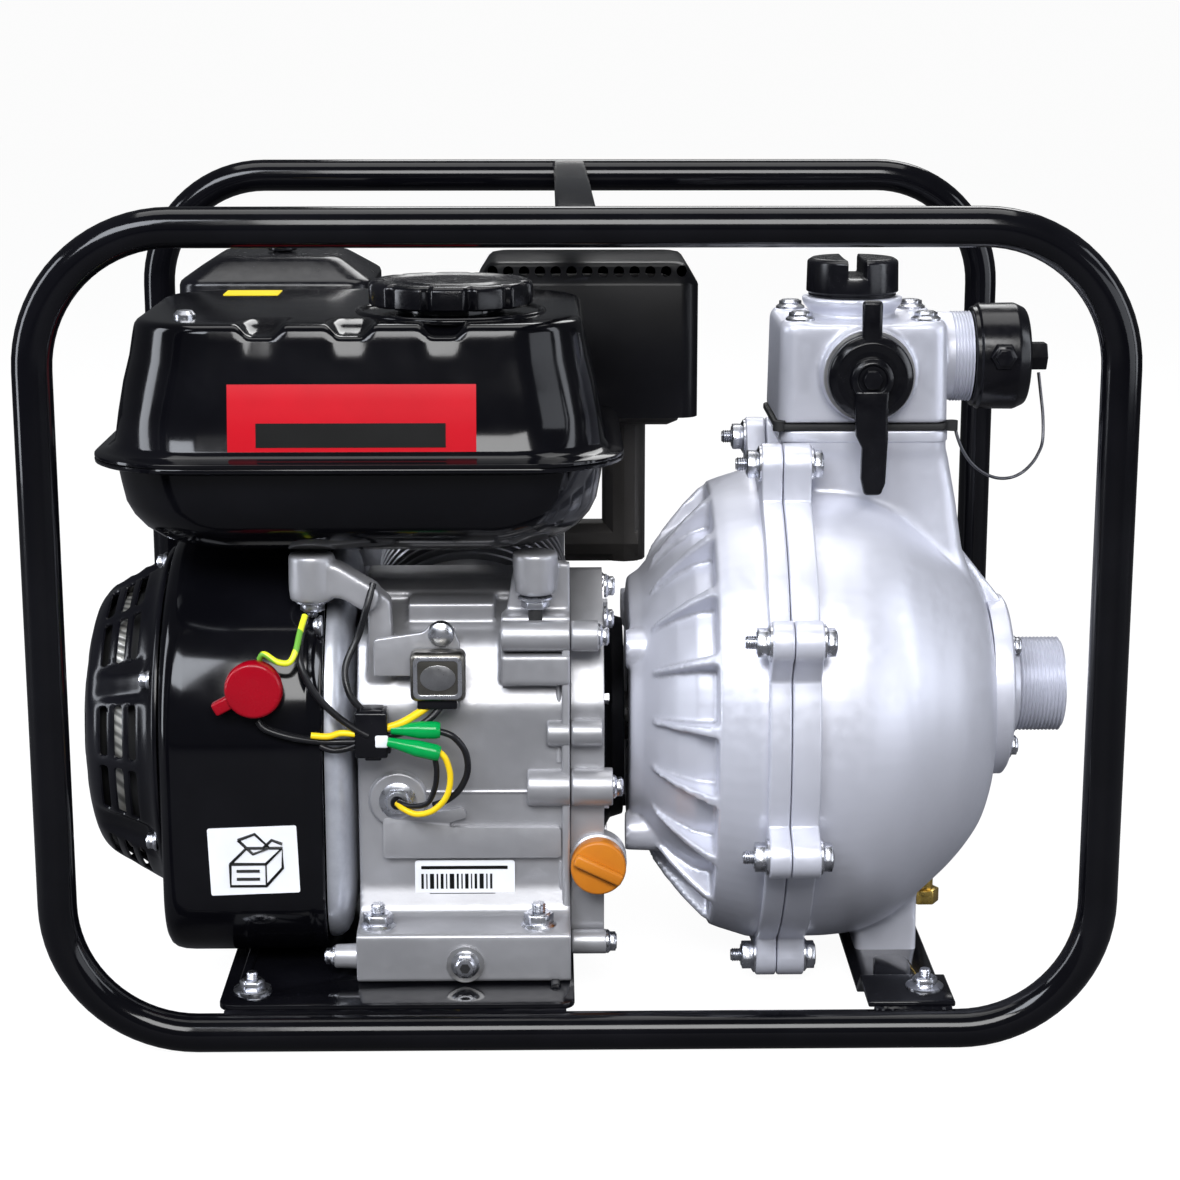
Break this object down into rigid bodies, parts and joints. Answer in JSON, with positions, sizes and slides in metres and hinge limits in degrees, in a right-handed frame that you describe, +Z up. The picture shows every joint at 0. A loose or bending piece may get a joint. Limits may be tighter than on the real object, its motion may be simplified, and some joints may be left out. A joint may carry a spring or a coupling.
{
  "type": "petrol engine water pump",
  "caption": "Portable water pump: small petrol engine with overhead fuel tank drives a round bolted pump casing, all held between tubular frame loops.",
  "frame": {"origin": "centre of the bounding box on the floor, under the machine", "axes": "+X from the recoil starter towards the pump suction port, along the crankshaft; -Y is the side with the engine switch and oil filler; +Z up"},
  "size_m": [0.5, 0.398, 0.392],
  "materials": {
    "gloss_black_paint": "gloss black powder coat and enamel",
    "satin_black_paint": "satin black painted steel",
    "grey_casting": "sand-cast aluminium, warm grey",
    "silver_paint": "silver painted aluminium casting",
    "bare_aluminium": "cast aluminium",
    "dark_steel": "machined steel",
    "zinc_steel": "bright zinc plated",
    "brass": "plain brass",
    "muffler_steel": "heat-resistant dark paint",
    "guard_paint": "satin black heat-resistant paint",
    "black_plastic": "moulded black plastic",
    "orange_plastic": "moulded orange plastic",
    "red_plastic": "moulded red plastic",
    "rubber": "black rubber",
    "filter_foam": "oiled foam",
    "rope": "braided cord",
    "wire_sleeve": "plastic insulation"
  },
  "bodies": {
    "root": {"air_cleaner_base": "black_plastic", "air_cleaner_cover": "black_plastic", "air_filter_element": "filter_foam", "cap_tether": "rubber", "carburettor": "bare_aluminium", "casing_bolt_1": "zinc_steel", "casing_bolt_2": "zinc_steel", "casing_bolt_3": "zinc_steel", "casing_bolt_4": "zinc_steel", "casing_bolt_5": "zinc_steel", "cooling_shroud": "zinc_steel", "crankcase": "grey_casting", "crankcase_side_cover": "grey_casting", "cylinder_barrel": "grey_casting", "cylinder_head": "grey_casting", "discharge_block": "silver_paint", "discharge_gasket": "rubber", "engine_base_bolt_1": "zinc_steel", "engine_base_bolt_2": "zinc_steel", "engine_cross_plate": "gloss_black_paint", "fan_housing": "gloss_black_paint", "front_frame_loop": "gloss_black_paint", "fuel_tank_lower": "gloss_black_paint", "fuel_tank_upper": "gloss_black_paint", "muffler": "muffler_steel", "muffler_guard": "guard_paint", "oil_alert_unit": "black_plastic", "oil_drain_bolt": "brass", "oil_level_sensor": "zinc_steel", "pump_cross_plate": "gloss_black_paint", "pump_drain_plug": "brass", "pump_front_casing": "silver_paint", "pump_rear_casing": "silver_paint", "rear_frame_loop": "gloss_black_paint", "recoil_cover": "satin_black_paint", "rocker_cover": "gloss_black_paint", "shaft_seal": "rubber", "spark_plug": "zinc_steel", "suction_port": "silver_paint", "top_cross_strap": "gloss_black_paint", "wiring_harness": "wire_sleeve"},
    "rotor": {"flywheel": "bare_aluminium", "crankshaft_flywheel_side": "dark_steel", "crankshaft_pump_side": "dark_steel", "impeller": "bare_aluminium"},
    "piston": {"piston": "bare_aluminium"},
    "connecting_rod": {"connecting_rod": "dark_steel"},
    "starter": {"starter_rope": "rope", "starter_grip": "black_plastic"},
    "recoil_pulley": {"recoil_pulley": "black_plastic"},
    "fuel_cap": {"fuel_cap": "black_plastic"},
    "oil_filler_cap": {"oil_filler_cap": "orange_plastic"},
    "engine_switch": {"engine_switch": "red_plastic"},
    "suction_flap": {"suction_flap": "rubber"},
    "front_outlet_cap": {"front_outlet_cap": "black_plastic"},
    "side_outlet_cap": {"side_outlet_cap": "black_plastic"},
    "priming_cap": {"priming_cap": "black_plastic"},
    "choke_lever": {"choke_lever": "black_plastic"},
    "fuel_cock_lever": {"fuel_cock_lever": "black_plastic"},
    "throttle_lever": {"throttle_lever": "black_plastic"}
  },
  "joints": [
    {"name": "crank_spin", "type": "hinge", "parent": "root", "child": "rotor", "pos_m": [-0.055, -0.052, 0.124], "axis": [1, 0, 0], "continuous": true},
    {"name": "piston_slide", "type": "slide", "parent": "root", "child": "piston", "axis": [0, 0.9063, 0.4226], "range_m": [-0.045, 0]},
    {"name": "rod_swing", "type": "hinge", "parent": "piston", "child": "connecting_rod", "pos_m": [-0.055, 0.04452, 0.16901], "axis": [1, 0, 0], "range_deg": [-15.5, 15.5]},
    {"name": "starter_pull", "type": "slide", "parent": "root", "child": "starter", "axis": [0, 1, 0], "range_m": [0, 0.1], "stiffness_N_per_m": 60, "springref_m": -0.03},
    {"name": "recoil_pulley_spin", "type": "hinge", "parent": "root", "child": "recoil_pulley", "pos_m": [-0.222, -0.052, 0.124], "axis": [-1, 0, 0], "range_deg": [0, 125]},
    {"name": "fuel_cap_turn", "type": "hinge", "parent": "root", "child": "fuel_cap", "pos_m": [-0.06, -0.086, 0.338], "axis": [0, 0, 1], "range_deg": [0, 90]},
    {"name": "oil_filler_cap_turn", "type": "hinge", "parent": "root", "child": "oil_filler_cap", "pos_m": [0.01, -0.1293, 0.071], "axis": [0, 1, 0], "range_deg": [0, 720]},
    {"name": "engine_switch_turn", "type": "hinge", "parent": "root", "child": "engine_switch", "pos_m": [-0.152, -0.1465, 0.165], "axis": [0, 1, 0], "range_deg": [0, 45]},
    {"name": "suction_flap_swing", "type": "hinge", "parent": "root", "child": "suction_flap", "pos_m": [0.206, -0.052, 0.158], "axis": [0, 1, 0], "range_deg": [0, 60]},
    {"name": "front_outlet_cap_turn", "type": "hinge", "parent": "root", "child": "front_outlet_cap", "pos_m": [0.141, -0.0943, 0.304], "axis": [0, -1, 0], "range_deg": [0, 90]},
    {"name": "side_outlet_cap_turn", "type": "hinge", "parent": "root", "child": "side_outlet_cap", "pos_m": [0.1963, -0.05, 0.308], "axis": [1, 0, 0], "range_deg": [0, 720]},
    {"name": "priming_cap_turn", "type": "hinge", "parent": "root", "child": "priming_cap", "pos_m": [0.137, -0.05, 0.3383], "axis": [0, 0, 1], "range_deg": [0, 720]},
    {"name": "choke_lever_turn", "type": "hinge", "parent": "root", "child": "choke_lever", "pos_m": [-0.116, 0.1063, 0.205], "axis": [0, -1, 0], "range_deg": [0, 60]},
    {"name": "fuel_cock_lever_turn", "type": "hinge", "parent": "root", "child": "fuel_cock_lever", "pos_m": [-0.126, 0.1063, 0.184], "axis": [0, 1, 0], "range_deg": [0, 90]},
    {"name": "throttle_lever_turn", "type": "hinge", "parent": "root", "child": "throttle_lever", "pos_m": [-0.15, 0.0453, 0.104], "axis": [0, 1, 0], "range_deg": [-30, 30]}
  ],
  "couplings": [
    {"joint": "recoil_pulley_spin", "follows": "starter_pull", "rad_per_m": 21.277}
  ]
}
